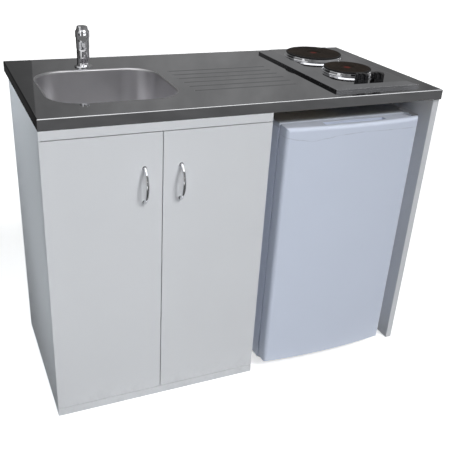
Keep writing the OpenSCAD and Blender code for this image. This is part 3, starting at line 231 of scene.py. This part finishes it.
def satin_bowl(name, centre):
    """Drawn steel with a soft brushed sheen that runs round the bowl's wall."""
    mat, tree, shader = new_material(name)
    shader.inputs["Metallic"].default_value = 1.0
    away = node(tree, "VectorMath", {0: place(tree), 1: tuple(centre)}, operation="SUBTRACT").outputs[0]
    parts = node(tree, "SeparateXYZ", {0: away}).outputs
    turn = node(tree, "Math", {0: parts[1], 1: parts[0]}, operation="ARCTAN2").outputs[0]
    ring = node(tree, "CombineXYZ", {0: maths(tree, "MULTIPLY", turn, 0.4),
                                     1: maths(tree, "MULTIPLY", parts[2], 60),
                                     2: maths(tree, "MULTIPLY", radius_from(tree, centre), 25)}).outputs[0]
    brushed = noise(tree, 6, 4, 0.6, ring)
    cloud = noise(tree, 6, 3, 0.5)
    feed(tree, shader, "Base Color",
         ramp(tree, cloud, [(0.3, (0.63, 0.625, 0.645)), (0.7, (0.73, 0.725, 0.74))]))
    feed(tree, shader, "Roughness", spread(tree, mix(tree, 0.4, brushed, cloud), 0.3, 0.42))
    bump(tree, shader, brushed, 0.12, 0.0004)
    return mat


def cast_plate(name, centre, radius):
    """Blackened iron: turned rings, burnt-on brown patches, and a small faded red spot in the middle."""
    mat, tree, shader = new_material(name)
    ring_pitch, spot_radius = 1.6 * MM, 14 * MM
    away = radius_from(tree, centre)
    rings = maths(tree, "SINE", maths(tree, "MULTIPLY", away, 2 * math.pi / ring_pitch))
    soot = noise(tree, 45, 4, 0.65)
    burnt = noise(tree, 14, 3, 0.6)
    base = ramp(tree, burnt, [(0.3, (0.010, 0.007, 0.004)), (0.55, (0.016, 0.010, 0.006)),
                              (0.8, (0.026, 0.017, 0.010))])
    frayed = maths(tree, "ADD", maths(tree, "DIVIDE", away, spot_radius), maths(tree, "MULTIPLY", soot, 0.35))
    spot = ramp(tree, frayed, [(0.85, 0.7), (1.0, 0.0)])
    rim = ramp(tree, maths(tree, "DIVIDE", away, radius), [(0.93, 0.0), (0.97, 0.5), (1.0, 0.8)])
    coloured = mix(tree, spot, base, (0.16, 0.018, 0.012))
    feed(tree, shader, "Base Color", mix(tree, rim, coloured, (0.02, 0.02, 0.021)))
    feed(tree, shader, "Roughness", spread(tree, soot, 0.42, 0.62))
    feed(tree, shader, "Specular IOR Level", 0.13)
    bump(tree, shader, maths(tree, "ADD", maths(tree, "MULTIPLY", rings, 0.3), soot), 0.35, 0.0003)
    return mat


def clear_plastic(name, colour, rough, weight):
    """Glass, or clear plastic that lets part of the light through."""
    mat, tree, shader = new_material(name)
    deeper = [c * 0.97 for c in colour]
    feed(tree, shader, "Base Color", ramp(tree, noise(tree, 6), [(0.3, deeper), (0.7, colour)]))
    shader.inputs["Transmission Weight"].default_value = weight
    shader.inputs["Roughness"].default_value = rough
    shader.inputs["IOR"].default_value = 1.45
    bump(tree, shader, noise(tree, 60), 0.05, 0.0005)
    return mat


def centre_of(name):
    """The middle of a node's box."""
    low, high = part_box(name)
    return (Vector(low) + Vector(high)) / 2


REAR_PLATE_RADIUS = 90 * MM
FRONT_PLATE_RADIUS = 72.5 * MM
STEEL = (0.62, 0.625, 0.645)
CHROME = (0.78, 0.785, 0.81)
BOARD = (0.785, 0.795, 0.815)
ENAMEL = (0.72, 0.775, 0.9)

deck_steel = metal("deck_steel", STEEL, 0.03, grain=(0.6, 14, 14), grain_depth=0.004, waves=0.5, smears=0.03)
bowl_steel = satin_bowl("bowl_steel", centre_of("sink_bowl"))
hob_steel = metal("hob_steel", STEEL, 0.04, grain=(14, 0.6, 14), grain_depth=0.005, waves=0.4, smears=0.04)
chrome = metal("chrome", CHROME, 0.03, grain_depth=0.0, patchy=0.02)
zinc = metal("zinc_sheet", (0.5, 0.51, 0.52), 0.38, grain=(2, 2, 2), grain_depth=0.1, patchy=0.2)
copper = metal("copper", (0.8, 0.45, 0.28), 0.22)
board_face = board("board_face", BOARD)
raw_chipboard = chipboard("raw_chipboard")
enamel = moulded("fridge_enamel", ENAMEL, 0.3, mottle=0.015, grain=700, grain_depth=0.05)
door_enamel = fridge_skin("fridge_door_enamel", ENAMEL)
lid_plastic = moulded("fridge_lid_plastic", (0.6, 0.65, 0.74), 0.4)
liner_plastic = moulded("liner_plastic", (0.82, 0.85, 0.88), 0.3)
trap_plastic = moulded("trap_plastic", (0.82, 0.82, 0.8), 0.35)
grey_plastic = moulded("grey_plastic", (0.3, 0.31, 0.33), 0.45)
black_plastic = moulded("black_plastic", (0.006, 0.006, 0.007), 0.24, coat=0.1)
black_enamel = moulded("black_enamel", (0.02, 0.02, 0.02), 0.4)
seal_rubber = moulded("seal_rubber", (0.55, 0.57, 0.6), 0.6)
smoke_plastic = clear_plastic("smoke_plastic", (0.82, 0.9, 0.94), 0.12, 0.7)
shelf_glass = clear_plastic("shelf_glass", (0.85, 0.95, 0.93), 0.02, 0.95)
rear_iron = cast_plate("rear_plate_iron", centre_of("rear_hotplate"), REAR_PLATE_RADIUS)
front_iron = cast_plate("front_plate_iron", centre_of("front_hotplate"), FRONT_PLATE_RADIUS)

FINISHES = {
    deck_steel: "worktop",
    bowl_steel: "sink_bowl",
    hob_steel: "hob_tray",
    chrome: "waste_fitting strainer_basket tap_body tap_head tap_spout tap_aerator lever_hub tap_lever "
            "tap_nut rear_ring front_ring left_spindle right_spindle shelf_pins left_handle right_handle "
            "left_door_fixings right_door_fixings pivot_pins hinge_brackets",
    zinc: "hob_box icebox",
    copper: "tap_tails",
    board_face: "left_side right_side bottom_panel back_panel fascia_rail plinth_rail rear_rail shelf "
                "left_door right_door end_panel bay_rail",
    raw_chipboard: "worktop_core",
    enamel: "fridge_cabinet",
    door_enamel: "fridge_door",
    lid_plastic: "fridge_top",
    liner_plastic: "fridge_liner door_liner magnet_catches",
    trap_plastic: "trap",
    grey_plastic: "waste_nut hob_switches thermostat_knob",
    black_plastic: "left_knob right_knob cable_gland fridge_feet",
    black_enamel: "cooling_unit",
    seal_rubber: "door_gasket",
    smoke_plastic: "icebox_flap crisper_drawer",
    shelf_glass: "glass_shelf",
    rear_iron: "rear_hotplate",
    front_iron: "front_hotplate",
}

for material, names in FINISHES.items():
    for name in names.split():
        mesh = nodes_by_name[name].data
        mesh.materials.clear()
        mesh.materials.append(material)


# ---------------------------------------------------------------- softened edges

BOARD_EDGE = 0.8 * MM
TRAY_EDGE = 1.4 * MM
WELD_REACH = 0.01 * MM
FLAT_DEGREES = 0.2


def soften(name, width, segments=2, angle=35):
    """Rounds a CAD node's hard edges by a small radius, without touching its own vertices."""
    made = nodes_by_name[name]
    weld = made.modifiers.new("weld", "WELD")
    weld.merge_threshold = WELD_REACH
    flat = made.modifiers.new("flat", "DECIMATE")
    flat.decimate_type = "DISSOLVE"
    flat.angle_limit = math.radians(FLAT_DEGREES)
    edge = made.modifiers.new("edge", "BEVEL")
    edge.width = width
    edge.segments = segments
    edge.limit_method = "ANGLE"
    edge.angle_limit = math.radians(angle)
    made.data.shade_smooth()
    shade = made.modifiers.new("shade", "WEIGHTED_NORMAL")
    shade.weight = 100
    shade.keep_sharp = False


for name in FINISHES[board_face].split():
    soften(name, BOARD_EDGE)
soften("hob_tray", TRAY_EDGE, segments=3, angle=10)


# ---------------------------------------------------------------- stage, light and camera

AMBIENT = (0.11, 0.112, 0.113)
WHITE = (1, 1, 1)
FLOOR_SIZE = 40
FLOOR_PAINT = (0.95, 0.95, 0.95)
FLOOR_BOUNCE = (0.08, 0.08, 0.085)
FLOOR_GLOW = 0.55
MOTTLE = (0.1, 0.1, 0.11)

KEY_FROM = (0.33, -0.66, 0.68)
SIDE_FROM = (-0.9, -0.15, 0.4)
REAR_FROM = (0.1, 0.95, 0.3)
RIGHT_FROM = (0.95, 0.1, 0.3)

# The ring of cards, in metres in the frame of the unit, and the gaps that keep cards apart
LEFT, RIGHT, FRONT, REAR, TOP = -3.5, 4.5, -5, 1.9, 3.2
THIN_GAP, GAP, WIDE_GAP = 0.02, 0.03, 0.05


def seen_directly(tree):
    """1 for what looks at a surface directly, in a reflection or through glass, and 0 for its light."""
    path = node(tree, "LightPath").outputs
    mirrored = maths(tree, "MAXIMUM", path["Is Glossy Ray"], path["Is Transmission Ray"])
    return maths(tree, "MAXIMUM", path["Is Camera Ray"], mirrored)


def plain_world():
    """Even soft light, and a white background for what looks at it directly or in a reflection."""
    world = bpy.data.worlds.new("studio")
    scene.world = world
    world.use_nodes = True
    tree = world.node_tree
    tree.nodes.clear()
    colour = mix(tree, seen_directly(tree), AMBIENT, WHITE)
    ground = node(tree, "Background", {"Color": colour, "Strength": 1.0})
    out = node(tree, "OutputWorld")
    tree.links.new(ground.outputs[0], out.inputs[0])


def plain_floor():
    """A pale floor that keeps the object's shadow."""
    bpy.ops.mesh.primitive_plane_add(size=FLOOR_SIZE)
    floor = bpy.context.object
    floor.name = "floor"
    mat, tree, shader = new_material("floor_paint")
    seen = seen_directly(tree)
    feed(tree, shader, "Base Color", mix(tree, seen, FLOOR_BOUNCE, FLOOR_PAINT))
    feed(tree, shader, "Emission Strength", maths(tree, "MULTIPLY", seen, FLOOR_GLOW))
    shader.inputs["Emission Color"].default_value = WHITE + (1,)
    shader.inputs["Roughness"].default_value = 0.9
    shader.inputs["Specular IOR Level"].default_value = 0.0
    floor.data.materials.append(mat)


def card(name, x, y, z, greys, axis=0, power=1.0):
    """A flat, upright or level studio card that only reflections see. One of x, y and z is a single
    place and the others are reaches. Its grey is even, or changes softly along one axis."""
    if isinstance(greys, (int, float)):
        greys = [(0, greys), (1, greys)]
    reach = [(v, v) if isinstance(v, (int, float)) else v for v in (x, y, z)]
    a, b = [i for i in range(3) if reach[i][0] != reach[i][1]]
    corners = []
    for i, j in ((0, 0), (1, 0), (1, 1), (0, 1)):
        corner = [low for low, high in reach]
        corner[a], corner[b] = reach[a][i], reach[b][j]
        corners.append(corner)
    mesh = bpy.data.meshes.new(name)
    mesh.from_pydata(corners, [], [range(len(corners))])
    made = bpy.data.objects.new(name, mesh)
    scene.collection.objects.link(made)

    mat, tree, shader = new_material(name)
    grey = ramp(tree, share(tree, along(tree, axis), *reach[axis]), greys)
    uneven = ramp(tree, noise(tree, 3, 4, 0.6), [(0.35, 0.0), (0.65, 0.25)])
    feed(tree, shader, "Emission Color", mix(tree, uneven, grey, MOTTLE, "MULTIPLY"))
    shader.inputs["Emission Strength"].default_value = power
    shader.inputs["Base Color"].default_value = (0, 0, 0, 1)
    shader.inputs["Specular IOR Level"].default_value = 0.0
    mesh.materials.append(mat)
    made.visible_camera = False
    made.visible_diffuse = False
    made.visible_shadow = False
    made.visible_transmission = False


def light(name, kind, power, colour):
    """A lamp that reflections don't see."""
    data = bpy.data.lights.new(name, kind)
    data.energy = power
    data.color = colour
    made = bpy.data.objects.new(name, data)
    made.visible_glossy = False
    scene.collection.objects.link(made)
    return made


def sun(name, direction, strength, softness, colour=WHITE):
    """A distant soft lamp: direction points from the object to the lamp, softness is in degrees."""
    made = light(name, "SUN", strength, colour)
    made.data.angle = math.radians(softness)
    made.rotation_euler = Vector(direction).to_track_quat("Z", "Y").to_euler()


def lamp(name, where, target, size, power, colour=WHITE):
    """A soft square lamp."""
    made = light(name, "AREA", power, colour)
    made.data.size = size
    made.location = where
    made.rotation_euler = (Vector(where) - Vector(target)).to_track_quat("Z", "Y").to_euler()


plain_world()
plain_floor()
sun("key", KEY_FROM, strength=1.87, softness=20, colour=(0.98, 0.99, 1.0))
sun("side_key", SIDE_FROM, strength=0.3, softness=30, colour=(0.93, 0.97, 1.0))
sun("rear_fill", REAR_FROM, strength=0.95, softness=30)
sun("right_fill", RIGHT_FROM, strength=0.4, softness=30)
lamp("side_lamp", where=(-1.05, 0.25, 1.35), target=(-0.6, 0.2, 0.8), size=0.35, power=4.4,
     colour=(0.88, 0.95, 1.0))
lamp("side_front_lamp", where=(-1.1, -0.24, 0.4), target=(-0.6, -0.24, 0.4), size=0.35, power=0.9,
     colour=(0.9, 0.96, 1.0))
lamp("fill_lamp", where=(-0.45, -1.9, 0.75), target=(0.1, -0.2, 0.5), size=0.6, power=8,
     colour=(0.94, 0.97, 1.0))

# Plain grey cards round the unit, which give the mirror-bright steel something darker than white to show
card("rear_wall", (LEFT, 4), REAR, (0, TOP),
     [(0, 0.12), (0.42, 0.16), (0.55, 0.28), (0.66, 0.24), (0.8, 0.15), (1, 0.2)])
card("rear_low", (LEFT, -0.29), REAR - THIN_GAP, (0, 1.6), [(0, 0.02), (0.8, 0.02), (1, 0.1)])
card("ceiling", (LEFT, RIGHT), (FRONT, REAR), TOP,
     [(0, 0.1), (0.35, 0.16), (0.6, 0.2), (0.72, 0.3), (0.85, 0.35), (1, 0.3)])
card("ceiling_glow", (-2.4, 0.2), (-0.7, REAR), TOP - GAP, [(0, 0.9), (0.6, 1.1), (1, 0.7)])
card("ceiling_strip", (-2.5, 4), (-3.1, -0.7), TOP - WIDE_GAP, 1.0, power=2.4)
card("left_wall", LEFT, (FRONT, REAR), (0, TOP), [(0, 0.24), (1, 0.2)], axis=1)
card("left_window", LEFT + WIDE_GAP, (-2.7, -0.95), (0, 2.2), 1.0, axis=1)
card("right_wall", RIGHT, (FRONT, REAR), (0, TOP), [(0, 0.34), (1, 0.26)], axis=1)
card("front_wall", (LEFT, RIGHT), FRONT, (0, TOP), [(0, 0.12), (0.4, 0.28), (1, 0.27)])
card("front_glow", (-3.4, 3.2), FRONT + THIN_GAP, (1.5, 1.8), [(0, 0.75), (1, 0.7)])
card("floor_far", (-2.8, RIGHT), (FRONT, -3.6), 0.01, 0.25)
card("floor_front", (-1.6, RIGHT), (-3.6, -0.36), 0.01, [(0, 0.14), (1, 0.2)])
card("floor_left", (LEFT, -0.55), (-0.9, REAR), 0.012, 0.02)

# The camera was solved from the photograph's corners, in this frame
camera_data = bpy.data.cameras.new("camera")
camera_data.sensor_width = 36
camera_data.lens = 53.317
camera_data.shift_x = 0.01964
camera_data.shift_y = 0.01655
camera = bpy.data.objects.new("camera", camera_data)
camera.location = (-0.82336, -1.82926, 1.41097)
camera.rotation_euler = [math.radians(a) for a in (62.8055, -2.8290, -22.9526)]
scene.collection.objects.link(camera)
scene.camera = camera

scene.view_settings.view_transform = "Standard"
